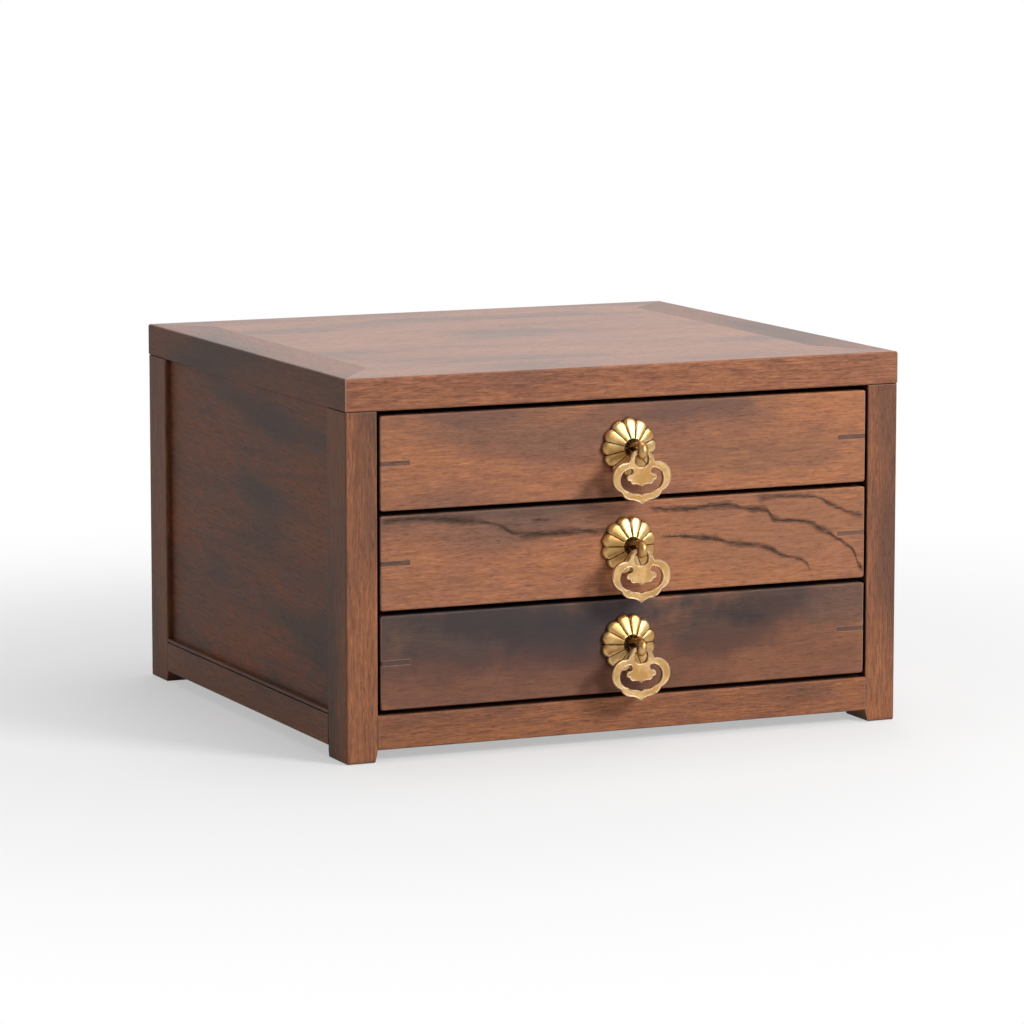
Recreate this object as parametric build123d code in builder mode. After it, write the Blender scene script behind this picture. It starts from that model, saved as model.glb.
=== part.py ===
"""Wooden tea box with stacked drawers and brass pulls.

The case is a frame of posts and rails with loose panels in grooves under a
mitred top frame.  The drawers run on strips between the posts.  Each one has
mitred and keyed front corners, and a pull made of a petalled rosette, a split
pin and a pierced bail that hangs from the eye of the pin.

Millimetres, +X to the right, +Y to the back, +Z up.  The origin is on the
floor, in the middle of the space that the box and its pulls take up.
"""
import math
import os

from build123d import *

# Case, outside
case_width = 255.0
case_depth = 235.0
case_height = 160.0
arris_radius = 0.8

# Top frame and its flush panel
top_thickness = 14.0
top_side_width = 24.0
top_front_width = 34.0
top_back_width = 24.0
top_edge_radius = 1.0
corner_tenon_thickness = 4.0
corner_tenon_width = 16.0
corner_tenon_cover = 6.0
corner_tenon_top_cover = 3.0
top_panel_thickness = 10.0
top_tongue_thickness = 4.0
top_tongue_lift = 1.0
top_tongue_length = 5.0

# Posts and their feet
post_width = 14.0
post_depth = 21.0
foot_height = 5.0
foot_taper = 1.4
foot_edge_radius = 0.6
post_tenon_width = 6.0
post_tenon_depth = 5.0
post_tenon_height = 6.0

# Lower rails and their tenons
rail_height = 14.5
front_rail_thickness = 14.0
side_rail_thickness = 12.0
rail_tenon_thickness = 4.0
rail_tenon_height = 6.0
rail_tenon_length = 8.0
rail_tenon_lift = 2.0
quirk_size = 0.8
quirk_drop = 1.0

# Panels of the sides and the back, and the bottom board
panel_thickness = 5.0
panel_recess = 2.5
panel_groove_depth = 5.0
bottom_thickness = 4.0
bottom_lift = 4.0
bottom_groove_depth = 3.5

# Drawer runners
runner_width = 8.0
runner_tenon_length = 4.0
runner_tenon_width = 3.0
runner_tenon_height = 3.0

# Drawers
drawer_count = 3
front_gap = 2.0
front_side_gap = 1.2
front_corner_radius = 1.2
drawer_wall = 9.0
drawer_back_thickness = 8.0
drawer_back_inset = 6.0
drawer_dado_depth = 3.0
drawer_bottom_thickness = 3.0
drawer_bottom_lift = 3.0
drawer_groove_depth = 3.5
front_lip = 3.0
drawer_stop_gap = 0.5
key_thickness = 2.0
key_leg = 13.3

# Clearances
joint_clearance = 0.1
panel_clearance = 0.3
slide_clearance = 0.3
kicker_clearance = 0.5
pin_clearance = 0.1
bail_clearance = 0.06
bail_tip_clearance = 0.3

# Rosette of the pull: its petals' rims and crests, and the dish in its middle
petal_count = 12
petal_tip_radius = 12.4
petal_tip_height = 1.1
petal_tip_bulge = 1.3
petal_crest_radius = 10.3
petal_crest_height = 2.7
petal_crest_bulge = 0.75
rosette_crown_radius = 4.4
rosette_height = 5.4
crown_bulge = 0.2
dish_radius = 3.8
dish_depth = 1.8

# Split pin of the pull, bent from half-round wire
eye_wire_radius = 2.0
eye_inner_radius = 2.0
pin_neck_height = 3.4
pin_loop_length = 9.6
pin_slit = 0.3
pin_bend_gap = 0.5
pin_leg_length = 9.0

# Bail of the pull: drops are counted from the top of its arch
bail_thickness = 2.0
bail_width = 27.0
bail_arch_height = 2.1
bail_drop = 23.2
bail_edge_radius = 0.3
bail_corner_radius = 0.4
bail_opening_corner_radius = 0.3
bail_hole_width = 6.2
bail_hole_drop = 7.3
bail_hole_top_radius = 1.6
bail_hole_foot_radius = 2.6

# Levels of the case
rail_top = foot_height + rail_height
top_underside = case_height - top_thickness
opening_height = top_underside - rail_top
front_height = (opening_height - (drawer_count + 1) * front_gap) / drawer_count
drawer_pitch = front_height + front_gap
runner_thickness = front_gap + front_lip

# Reach of the pull in front of the drawers
loop_radius = eye_inner_radius - pin_slit / 2
eye_reach = pin_neck_height + pin_loop_length
pull_reach = eye_reach + loop_radius + eye_wire_radius

# Places across and along the case
half_width = case_width / 2
post_inner_x = half_width - post_width
front_y = (pull_reach - case_depth) / 2
back_y = front_y + case_depth
front_post_y = front_y + post_depth
back_post_y = back_y - post_depth
panel_outer_x = half_width - panel_recess
panel_inner_x = panel_outer_x - panel_thickness
back_panel_inner_y = back_y - panel_recess - panel_thickness
side_rail_inner_x = half_width - side_rail_thickness
front_rail_inner_y = front_y + front_rail_thickness
back_rail_inner_y = back_y - front_rail_thickness
top_panel_x = half_width - top_side_width
top_panel_front_y = front_y + top_front_width
top_panel_back_y = back_y - top_back_width
tongue_bottom = case_height - top_panel_thickness + top_tongue_lift
tongue_top = tongue_bottom + top_tongue_thickness
rail_tenon_bottom = foot_height + rail_tenon_lift
rail_tenon_top = rail_tenon_bottom + rail_tenon_height
bottom_board_bottom = foot_height + bottom_lift
bottom_board_top = bottom_board_bottom + bottom_thickness

# Places of the drawer boards
drawer_outer_x = post_inner_x - front_side_gap
drawer_inner_x = drawer_outer_x - drawer_wall
front_inner_y = front_y + drawer_wall
drawer_end_y = back_panel_inner_y - drawer_stop_gap
drawer_back_outer_y = drawer_end_y - drawer_back_inset
drawer_back_inner_y = drawer_back_outer_y - drawer_back_thickness
runner_inner_x = post_inner_x - runner_width
runner_tenon_x = (post_inner_x + panel_inner_x) / 2

# Pull, hung so that the bail just clears the drawer below
arch_underside = math.sqrt((eye_inner_radius - bail_clearance) ** 2 - (bail_thickness / 2) ** 2)
arch_top = bail_arch_height - arch_underside
eye_y = front_y - eye_reach
tip_below_eye = bail_drop - arch_top
pull_rise = tip_below_eye + bail_tip_clearance - front_gap - front_height / 2


def front_bottom(number):
    """Height of the lower edge of a drawer front, counted from the top drawer."""
    return rail_top + front_gap + (drawer_count - number) * drawer_pitch


def runner_top(number):
    """Height of the face that a drawer slides on."""
    return front_bottom(number) + front_lip


def side_bottom(number):
    """Height of the lower edge of a drawer's side boards."""
    return runner_top(number) + slide_clearance


def side_top(number):
    """Height of the upper edge of a drawer's side boards."""
    return runner_top(number) + drawer_pitch - runner_thickness - kicker_clearance


def pull_height(number):
    """Height of the axis of a drawer's pull."""
    return front_bottom(number) + front_height / 2 + pull_rise


def block(x_limits, y_limits, z_limits, mode=Mode.ADD):
    """Add or cut an upright block between its limits on each axis."""
    low_x, high_x = sorted(x_limits)
    low_y, high_y = sorted(y_limits)
    low_z, high_z = sorted(z_limits)
    with Locations(((low_x + high_x) / 2, (low_y + high_y) / 2, (low_z + high_z) / 2)):
        Box(high_x - low_x, high_y - low_y, high_z - low_z, mode=mode)


def widened(limits, amount=joint_clearance):
    """Widen a pair of limits by a clearance at both ends."""
    low, high = sorted(limits)
    return (low - amount, high + amount)


def centred(middle, size):
    """Limits of a size about its middle."""
    return (middle - size / 2, middle + size / 2)


def save(part, label):
    """Label a finished piece and write its file."""
    part.label = label
    export_step(part, f"parts/{label}.step")


# Shared limits of joints that two pieces have in common
corner_tenon_z = (case_height - corner_tenon_top_cover - corner_tenon_thickness,
                  case_height - corner_tenon_top_cover)
post_tenon_z = (top_underside, top_underside + post_tenon_height)
rail_tenon_z = (rail_tenon_bottom, rail_tenon_top)
tongue_z = (tongue_bottom, tongue_top)
bottom_z = (bottom_board_bottom, bottom_board_top)


def corner_tenon_y(back):
    """Limits along Y of the tenon that a front or back top rail enters a stile with."""
    if back:
        return centred(back_y - (top_back_width - top_tongue_length) / 2, corner_tenon_width)
    return centred(front_y + (top_front_width - top_tongue_length) / 2, corner_tenon_width)


def corner_tenon_x(sign):
    """Limits along X of the same tenon, which stops short of the outer edge."""
    return (sign * top_panel_x, sign * (half_width - corner_tenon_cover))


def post_tenon_x(sign):
    """Limits along X of the tenon on top of a post."""
    return centred(sign * (half_width - post_width / 2), post_tenon_width)


def post_tenon_y(back):
    """Limits along Y of the tenon on top of a post."""
    middle = back_y - post_depth / 2 if back else front_y + post_depth / 2
    return centred(middle, post_tenon_depth)


def front_rail_tenon_y(back):
    """Limits along Y of the tenons of the front and back lower rails."""
    middle = back_y - front_rail_thickness / 2 if back else front_y + front_rail_thickness / 2
    return centred(middle, rail_tenon_thickness)


def side_rail_tenon_x(sign):
    """Limits along X of the tenons of the side lower rails."""
    return centred(sign * (half_width - side_rail_thickness / 2), rail_tenon_thickness)


def runner_tenon_z(number):
    """Limits along Z of the tenons of a runner."""
    return centred(runner_top(number) - runner_thickness / 2, runner_tenon_height)


def build_top_rail(back):
    """Mitred front or back rail of the top frame, with its corner tenons."""
    outer_y = back_y if back else front_y
    inner_y = top_panel_back_y if back else top_panel_front_y
    inward = -1 if back else 1
    with BuildPart() as rail:
        with BuildSketch(Plane.XY.offset(top_underside)):
            Polygon((-half_width, outer_y), (half_width, outer_y),
                    (top_panel_x, inner_y), (-top_panel_x, inner_y), align=None)
        extrude(amount=top_thickness)
        outer_edges = rail.edges().filter_by(Axis.X).group_by(Axis.Y)[-1 if back else 0]
        fillet(outer_edges, radius=top_edge_radius)
        for sign in (-1, 1):
            block(corner_tenon_x(sign), corner_tenon_y(back), corner_tenon_z)
        block((-half_width, half_width), (inner_y, inner_y - inward * top_tongue_length),
              tongue_z, Mode.SUBTRACT)
        for sign in (-1, 1):
            block(widened(post_tenon_x(sign)), widened(post_tenon_y(back)),
                  widened(post_tenon_z), Mode.SUBTRACT)
        if back:
            block((-post_inner_x - panel_groove_depth, post_inner_x + panel_groove_depth),
                  (back_panel_inner_y, back_panel_inner_y + panel_thickness),
                  (top_underside, top_underside + panel_groove_depth), Mode.SUBTRACT)
    return rail.part


def build_top_stile(sign):
    """Mitred left or right stile of the top frame, with its corner mortises."""
    with BuildPart() as stile:
        with BuildSketch(Plane.XY.offset(top_underside)):
            Polygon((sign * half_width, front_y), (sign * half_width, back_y),
                    (sign * top_panel_x, top_panel_back_y),
                    (sign * top_panel_x, top_panel_front_y), align=None)
        extrude(amount=top_thickness)
        outer_edges = stile.edges().filter_by(Axis.Y).group_by(Axis.X)[-1 if sign > 0 else 0]
        fillet(outer_edges, radius=top_edge_radius)
        block((sign * top_panel_x, sign * (top_panel_x + top_tongue_length)),
              (front_y, back_y), tongue_z, Mode.SUBTRACT)
        block((sign * panel_inner_x, sign * panel_outer_x),
              (front_post_y - panel_groove_depth, back_post_y + panel_groove_depth),
              (top_underside, top_underside + panel_groove_depth), Mode.SUBTRACT)
        for back in (False, True):
            block(widened(corner_tenon_x(sign)), widened(corner_tenon_y(back)),
                  widened(corner_tenon_z), Mode.SUBTRACT)
            block(widened(post_tenon_x(sign)), widened(post_tenon_y(back)),
                  widened(post_tenon_z), Mode.SUBTRACT)
    return stile.part


def build_top_panel():
    """Flush top panel with a tongue all round."""
    reach = top_tongue_length - panel_clearance
    with BuildPart() as panel:
        block((-top_panel_x, top_panel_x), (top_panel_front_y, top_panel_back_y),
              (case_height - top_panel_thickness, case_height))
        block((-top_panel_x - reach, top_panel_x + reach),
              (top_panel_front_y - reach, top_panel_back_y + reach), tongue_z)
    return panel.part


def build_post(sign, back):
    """Corner post with a tapered foot, a top tenon and the cuts for its rails, panels and runners."""
    outer_y = back_y if back else front_y
    inner_y = back_post_y if back else front_post_y
    inward = -1 if back else 1
    with BuildPart() as post:
        block((sign * post_inner_x, sign * half_width), (outer_y, inner_y), (0, top_underside))
        fillet(post.edges().filter_by(Axis.Z), radius=arris_radius)
        with BuildSketch(Plane.XZ.offset(-back_y)):
            Polygon((sign * post_inner_x, 0), (sign * (post_inner_x + foot_taper), 0),
                    (sign * post_inner_x, foot_height), align=None)
        extrude(amount=case_depth, mode=Mode.SUBTRACT)
        with BuildSketch(Plane.YZ.offset(-half_width)):
            Polygon((inner_y, 0), (inner_y - inward * foot_taper, 0),
                    (inner_y, foot_height), align=None)
        extrude(amount=case_width, mode=Mode.SUBTRACT)
        fillet(post.faces().sort_by(Axis.Z)[0].edges(), radius=foot_edge_radius)
        block(post_tenon_x(sign), post_tenon_y(back), post_tenon_z)
        block(widened((sign * post_inner_x, sign * (post_inner_x + rail_tenon_length))),
              widened(front_rail_tenon_y(back)), widened(rail_tenon_z), Mode.SUBTRACT)
        block(widened(side_rail_tenon_x(sign)),
              widened((inner_y, inner_y - inward * rail_tenon_length)),
              widened(rail_tenon_z), Mode.SUBTRACT)
        block((sign * panel_inner_x, sign * panel_outer_x),
              (inner_y, inner_y - inward * panel_groove_depth),
              (rail_top - panel_groove_depth, top_underside), Mode.SUBTRACT)
        if back:
            block((sign * post_inner_x, sign * (post_inner_x + panel_groove_depth)),
                  (back_panel_inner_y, back_panel_inner_y + panel_thickness),
                  (rail_top - panel_groove_depth, top_underside), Mode.SUBTRACT)
        for number in range(1, drawer_count + 1):
            block(widened(centred(sign * runner_tenon_x, runner_tenon_width)),
                  widened((inner_y, inner_y - inward * runner_tenon_length)),
                  widened(runner_tenon_z(number)), Mode.SUBTRACT)
    return post.part


def build_cross_rail(back):
    """Front or back lower rail, tenoned into the posts and grooved for the bottom board."""
    outer_y = back_y if back else front_y
    inner_y = back_rail_inner_y if back else front_rail_inner_y
    inward = -1 if back else 1
    with BuildPart() as rail:
        with BuildSketch(Plane.YZ.offset(-post_inner_x)):
            with Locations(((outer_y + inner_y) / 2, foot_height + rail_height / 2)):
                Rectangle(front_rail_thickness, rail_height)
            with Locations((inner_y - inward * bottom_groove_depth / 2, sum(bottom_z) / 2)):
                Rectangle(bottom_groove_depth, bottom_thickness, mode=Mode.SUBTRACT)
            if back:
                with Locations((back_panel_inner_y + panel_thickness / 2, rail_top - panel_groove_depth / 2)):
                    Rectangle(panel_thickness, panel_groove_depth, mode=Mode.SUBTRACT)
        extrude(amount=2 * post_inner_x)
        outer_edges = rail.edges().filter_by(Axis.X).group_by(Axis.Y)[-1 if back else 0]
        fillet(outer_edges, radius=arris_radius)
        for sign in (-1, 1):
            block((sign * post_inner_x, sign * (post_inner_x + rail_tenon_length)),
                  front_rail_tenon_y(back), rail_tenon_z)
    return rail.part


def build_side_rail(sign):
    """Left or right lower rail, with a fine line under its upper edge."""
    length = back_post_y - front_post_y
    quirk_z = rail_top - quirk_drop - quirk_size / 2
    with BuildPart() as rail:
        with BuildSketch(Plane.XZ.offset(-back_post_y)):
            with Locations((sign * (half_width - side_rail_thickness / 2), foot_height + rail_height / 2)):
                Rectangle(side_rail_thickness, rail_height)
            with Locations((sign * (side_rail_inner_x + bottom_groove_depth / 2), sum(bottom_z) / 2)):
                Rectangle(bottom_groove_depth, bottom_thickness, mode=Mode.SUBTRACT)
            with Locations((sign * (panel_inner_x + panel_thickness / 2), rail_top - panel_groove_depth / 2)):
                Rectangle(panel_thickness, panel_groove_depth, mode=Mode.SUBTRACT)
            with Locations((sign * (half_width - quirk_size / 2), quirk_z)):
                Rectangle(quirk_size, quirk_size, mode=Mode.SUBTRACT)
        extrude(amount=length)
        for inner_y, inward in ((front_post_y, -1), (back_post_y, 1)):
            block(side_rail_tenon_x(sign), (inner_y, inner_y + inward * rail_tenon_length), rail_tenon_z)
    return rail.part


def build_side_panel(sign):
    """Loose side panel that stands in the grooves of the frame round it."""
    reach = panel_groove_depth - panel_clearance
    with BuildPart() as panel:
        block((sign * panel_inner_x, sign * panel_outer_x),
              (front_post_y - reach, back_post_y + reach), (rail_top - reach, top_underside + reach))
    return panel.part


def build_back_panel():
    """Loose back panel that stands in the grooves of the frame round it."""
    reach = panel_groove_depth - panel_clearance
    with BuildPart() as panel:
        block((-post_inner_x - reach, post_inner_x + reach),
              (back_panel_inner_y, back_panel_inner_y + panel_thickness),
              (rail_top - reach, top_underside + reach))
    return panel.part


def build_bottom_board():
    """Bottom board in the grooves of the lower rails, notched round the posts."""
    reach = bottom_groove_depth - panel_clearance
    with BuildPart() as board:
        with BuildSketch(Plane.XY.offset(bottom_board_bottom)):
            with Locations((0, (front_rail_inner_y + back_rail_inner_y) / 2)):
                Rectangle(2 * (side_rail_inner_x + reach), back_rail_inner_y - front_rail_inner_y + 2 * reach)
            for sign in (-1, 1):
                for inner_y, outer_y in ((front_post_y, front_y), (back_post_y, back_y)):
                    middle = (sign * (half_width - post_width / 2), (inner_y + outer_y) / 2)
                    with Locations(middle):
                        Rectangle(post_width + 2 * panel_clearance, post_depth + 2 * panel_clearance,
                                  mode=Mode.SUBTRACT)
        extrude(amount=bottom_thickness)
    return board.part


def build_runner(sign, number):
    """Strip that a drawer slides on, tenoned into the front and back posts."""
    with BuildPart() as runner:
        block((sign * runner_inner_x, sign * panel_inner_x), (front_post_y, back_post_y),
              (runner_top(number) - runner_thickness, runner_top(number)))
        for inner_y, inward in ((front_post_y, -1), (back_post_y, 1)):
            block(centred(sign * runner_tenon_x, runner_tenon_width),
                  (inner_y, inner_y + inward * runner_tenon_length), runner_tenon_z(number))
    return runner.part


def key_blanks(number, signs):
    """Thin triangular keys across the front corners of a drawer, before their corner is eased."""
    with BuildPart() as blanks:
        with BuildSketch(Plane.XY.offset(front_bottom(number) + front_height / 2 - key_thickness / 2)):
            for sign in signs:
                corner_x = sign * drawer_outer_x
                Polygon((corner_x, front_y), (corner_x - sign * key_leg, front_y),
                        (corner_x, front_y + key_leg), align=None)
        extrude(amount=key_thickness)
    return blanks.part


def build_drawer_front(number):
    """Drawer front with eased edges, stopped mitres, key slots, bottom groove and pin hole."""
    low = front_bottom(number)
    groove_z = side_bottom(number) + drawer_bottom_lift
    with BuildPart() as front:
        block((-drawer_outer_x, drawer_outer_x), (front_y, front_inner_y), (low, low + front_height))
        fillet(front.edges().filter_by(Axis.Y), radius=front_corner_radius)
        fillet(front.faces().sort_by(Axis.Y)[0].edges(), radius=arris_radius)
        with BuildSketch(Plane.XY.offset(side_bottom(number))):
            for sign in (-1, 1):
                Polygon((sign * drawer_outer_x, front_y), (sign * drawer_outer_x, front_inner_y),
                        (sign * drawer_inner_x, front_inner_y), align=None)
        extrude(amount=side_top(number) - side_bottom(number), mode=Mode.SUBTRACT)
        add(key_blanks(number, (-1, 1)), mode=Mode.SUBTRACT)
        block((-drawer_inner_x, drawer_inner_x), (front_inner_y - drawer_groove_depth, front_inner_y),
              (groove_z, groove_z + drawer_bottom_thickness), Mode.SUBTRACT)
        with Locations(Location((0, front_y, pull_height(number)), (90, 0, 0))):
            Hole(eye_wire_radius + pin_clearance, depth=drawer_wall)
    return front.part


def build_drawer_side(number, sign):
    """Drawer side with its mitre, key slot, bottom groove and the housing of the back board."""
    low, high = side_bottom(number), side_top(number)
    groove_z = low + drawer_bottom_lift
    with BuildPart() as side:
        block((sign * drawer_inner_x, sign * drawer_outer_x), (front_y, drawer_end_y), (low, high))
        corner = side.edges().filter_by(Axis.Z).group_by(Axis.Y)[0].sort_by(Axis.X)[-1 if sign > 0 else 0]
        fillet(corner, radius=arris_radius)
        with BuildSketch(Plane.XY.offset(low)):
            Polygon((sign * drawer_outer_x, front_y), (sign * drawer_inner_x, front_y),
                    (sign * drawer_inner_x, front_inner_y), align=None)
        extrude(amount=high - low, mode=Mode.SUBTRACT)
        add(key_blanks(number, (sign,)), mode=Mode.SUBTRACT)
        block((sign * drawer_inner_x, sign * (drawer_inner_x + drawer_groove_depth)),
              (front_y, drawer_back_outer_y), (groove_z, groove_z + drawer_bottom_thickness), Mode.SUBTRACT)
        block((sign * drawer_inner_x, sign * (drawer_inner_x + drawer_dado_depth)),
              (drawer_back_inner_y, drawer_back_outer_y),
              (groove_z + drawer_bottom_thickness, high), Mode.SUBTRACT)
    return side.part


def build_drawer_back(number):
    """Drawer back, housed in the sides and standing on the bottom."""
    reach = drawer_inner_x + drawer_dado_depth - joint_clearance
    with BuildPart() as back:
        block((-reach, reach), (drawer_back_inner_y, drawer_back_outer_y),
              (side_bottom(number) + drawer_bottom_lift + drawer_bottom_thickness, side_top(number)))
    return back.part


def build_drawer_bottom(number):
    """Thin drawer bottom in the grooves of the front and the sides."""
    reach = drawer_groove_depth - panel_clearance
    low = side_bottom(number) + drawer_bottom_lift
    with BuildPart() as bottom:
        block((-drawer_inner_x, drawer_inner_x), (front_inner_y - reach, drawer_back_outer_y),
              (low, low + drawer_bottom_thickness))
        block((-drawer_inner_x - reach, drawer_inner_x + reach), (front_inner_y, drawer_back_outer_y),
              (low, low + drawer_bottom_thickness))
    return bottom.part


def build_drawer_keys(number):
    """Two dark wooden keys across the front corners, flush with the front and the sides."""
    with BuildPart() as keys:
        add(key_blanks(number, (-1, 1)))
        corners = keys.edges().filter_by(Axis.Z).group_by(Axis.Y)[0]
        ends = [corners.sort_by(Axis.X)[0], corners.sort_by(Axis.X)[-1]]
        fillet(ends, radius=arris_radius)
    return keys.part


def petal_outline(plane, tip_radius, bulge, turn):
    """Closed ring of rounded petal ends on a plane."""
    step = 2 * math.pi / petal_count
    joint_radius = tip_radius - bulge
    with BuildSketch(plane) as ring:
        with BuildLine():
            for petal in range(petal_count):
                middle = math.pi / 2 + turn + petal * step
                first = (joint_radius * math.cos(middle - step / 2), joint_radius * math.sin(middle - step / 2))
                crest = (tip_radius * math.cos(middle), tip_radius * math.sin(middle))
                last = (joint_radius * math.cos(middle + step / 2), joint_radius * math.sin(middle + step / 2))
                ThreePointArc(first, crest, last)
        make_face()
    return ring.sketch


def build_rosette(number):
    """Rosette of rounded petals that slope up to a dished middle."""
    plane = Plane(origin=(0, front_y, pull_height(number)), x_dir=(1, 0, 0), z_dir=(0, -1, 0))
    turn = 0 if number == 1 else math.pi / petal_count
    foot = petal_outline(plane, petal_tip_radius, petal_tip_bulge, turn)
    tip = petal_outline(plane.offset(petal_tip_height), petal_tip_radius, petal_tip_bulge, turn)
    crest = petal_outline(plane.offset(petal_crest_height), petal_crest_radius, petal_crest_bulge, turn)
    crown = petal_outline(plane.offset(rosette_height), rosette_crown_radius, crown_bulge, turn)
    with BuildPart() as rosette:
        loft(sections=[foot, tip], ruled=True)
        loft(sections=[tip, crest], ruled=True)
        loft(sections=[crest, crown], ruled=True)
        with Locations(plane.offset(rosette_height - dish_depth / 2).location):
            Cone(eye_wire_radius + pin_clearance, dish_radius, dish_depth, mode=Mode.SUBTRACT)
        with Locations(plane.location):
            Cylinder(eye_wire_radius + pin_clearance, 2 * rosette_height, mode=Mode.SUBTRACT)
    return rosette.part


def build_split_pin(number):
    """Pin bent from half-round wire: a long eye, then two legs that run together and part inside."""
    height = pull_height(number)
    bend_radius = eye_wire_radius + pin_bend_gap
    turn_y = front_inner_y + bend_radius
    neck_y = front_y - pin_neck_height
    lean = math.asin(loop_radius / pin_loop_length)
    turn = (math.pi / 2 + lean) / 2
    nose = (0, eye_y - loop_radius, height)
    brow = (0, eye_y - loop_radius * math.cos(turn), height + loop_radius * math.sin(turn))
    temple = (0, eye_y + loop_radius * math.sin(lean), height + loop_radius * math.cos(lean))
    with BuildPart() as pin:
        with BuildLine():
            ThreePointArc(nose, brow, temple)
            FilletPolyline(temple, (0, neck_y, height), (0, turn_y, height), (0, turn_y, height + pin_leg_length),
                           radius=bend_radius)
        with BuildSketch(Plane(origin=nose, x_dir=(1, 0, 0), z_dir=(0, 0, 1))):
            Circle(eye_wire_radius)
            with Locations((0, eye_wire_radius - pin_slit / 2)):
                Rectangle(2 * eye_wire_radius, 2 * eye_wire_radius, mode=Mode.SUBTRACT)
        sweep()
        mirror(about=Plane.XY.offset(height))
    return pin.part


def bail_point(across, down):
    """Point of the bail's outline, as parts of its half width and of its drop."""
    return (across * bail_width / 2, -down * bail_drop)


def bail_outline():
    """Outer edge of the bail: arch, necks, side lobes, foot lobes and tip."""
    with BuildSketch() as outline:
        with BuildLine():
            ThreePointArc(bail_point(-0.32, 0.056), bail_point(0, 0), bail_point(0.32, 0.056))
            with BuildLine(mode=Mode.PRIVATE) as half:
                Line(bail_point(0.32, 0.056), bail_point(0.455, 0.228))
                ThreePointArc(bail_point(0.455, 0.228), bail_point(1, 0.483), bail_point(0.685, 0.763))
                ThreePointArc(bail_point(0.685, 0.763), bail_point(0.545, 0.871), bail_point(0.319, 0.909))
                ThreePointArc(bail_point(0.319, 0.909), bail_point(0.156, 0.94), bail_point(0, 1))
            add(half.line)
            mirror(half.line, about=Plane.YZ)
        make_face()
        fillet(outline.vertices(), radius=bail_corner_radius)
    return outline.sketch


def bail_opening():
    """Pierced opening of the bail: scalloped tongue, volutes, sides and foot."""
    with BuildSketch() as opening:
        with BuildLine():
            with BuildLine(mode=Mode.PRIVATE) as half:
                ThreePointArc(bail_point(0, 0.668), bail_point(0.141, 0.629), bail_point(0.267, 0.629))
                ThreePointArc(bail_point(0.267, 0.629), bail_point(0.363, 0.608), bail_point(0.4, 0.556))
                ThreePointArc(bail_point(0.4, 0.556), bail_point(0.489, 0.543), bail_point(0.511, 0.5))
                ThreePointArc(bail_point(0.511, 0.5), bail_point(0.474, 0.457), bail_point(0.393, 0.444))
                ThreePointArc(bail_point(0.393, 0.444), bail_point(0.307, 0.388), bail_point(0.4, 0.334))
                ThreePointArc(bail_point(0.4, 0.334), bail_point(0.719, 0.5), bail_point(0.419, 0.75))
                ThreePointArc(bail_point(0.419, 0.75), bail_point(0.326, 0.784), bail_point(0.193, 0.793))
                ThreePointArc(bail_point(0.193, 0.793), bail_point(0.089, 0.802), bail_point(0, 0.823))
            add(half.line)
            mirror(half.line, about=Plane.YZ)
        make_face()
        fillet(opening.vertices(), radius=bail_opening_corner_radius)
    return opening.sketch


def bail_eye_hole():
    """Rounded hole that the eye passes through, under the arch of the bail."""
    with BuildSketch() as hole:
        Rectangle(bail_hole_width, bail_hole_drop - bail_arch_height)
        fillet(hole.vertices().group_by(Axis.Y)[-1], radius=bail_hole_top_radius)
        fillet(hole.vertices().group_by(Axis.Y)[0], radius=bail_hole_foot_radius)
    return hole.sketch


def build_bail(number):
    """Pierced bail in the form of a cloud head, with all its edges eased."""
    origin = (0, eye_y, pull_height(number) + arch_top)
    outline = bail_outline()
    opening = bail_opening()
    hole = bail_eye_hole()
    with BuildPart() as bail:
        with BuildSketch(Plane(origin=origin, x_dir=(1, 0, 0), z_dir=(0, -1, 0))):
            add(outline)
            add(opening, mode=Mode.SUBTRACT)
            with Locations((0, -(bail_arch_height + bail_hole_drop) / 2)):
                add(hole, mode=Mode.SUBTRACT)
        extrude(amount=bail_thickness / 2, both=True)
        fillet(bail.faces().filter_by(Axis.Y).edges(), radius=bail_edge_radius)
    return bail.part


def build_case():
    """Build and write every fixed piece of the case."""
    save(build_top_rail(back=False), "top_frame_front")
    save(build_top_rail(back=True), "top_frame_back")
    save(build_top_panel(), "top_panel")
    save(build_cross_rail(back=False), "rail_front")
    save(build_cross_rail(back=True), "rail_back")
    save(build_back_panel(), "back_panel")
    save(build_bottom_board(), "bottom_board")
    for side_name, sign in (("left", -1), ("right", 1)):
        save(build_top_stile(sign), f"top_frame_{side_name}")
        save(build_side_rail(sign), f"rail_{side_name}")
        save(build_side_panel(sign), f"side_panel_{side_name}")
        save(build_post(sign, back=False), f"post_front_{side_name}")
        save(build_post(sign, back=True), f"post_back_{side_name}")
        for number in range(1, drawer_count + 1):
            save(build_runner(sign, number), f"runner_{side_name}_{number}")


def build_drawer(number):
    """Build and write one drawer and its pull."""
    name = f"drawer_{number}"
    save(build_drawer_front(number), f"{name}_front")
    save(build_drawer_side(number, -1), f"{name}_side_left")
    save(build_drawer_side(number, 1), f"{name}_side_right")
    save(build_drawer_back(number), f"{name}_back")
    save(build_drawer_bottom(number), f"{name}_bottom")
    save(build_drawer_keys(number), f"{name}_keys")
    save(build_rosette(number), f"{name}_rosette")
    save(build_split_pin(number), f"{name}_split_pin")
    save(build_bail(number), f"{name}_bail")


os.makedirs("parts", exist_ok=True)
build_case()
for drawer_number in range(1, drawer_count + 1):
    build_drawer(drawer_number)
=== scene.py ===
"""Tea box with three drawers: finishes, brass work and studio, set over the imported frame."""
import logging
import math
from dataclasses import dataclass
from enum import Enum
from typing import Any, Iterable, Optional

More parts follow.
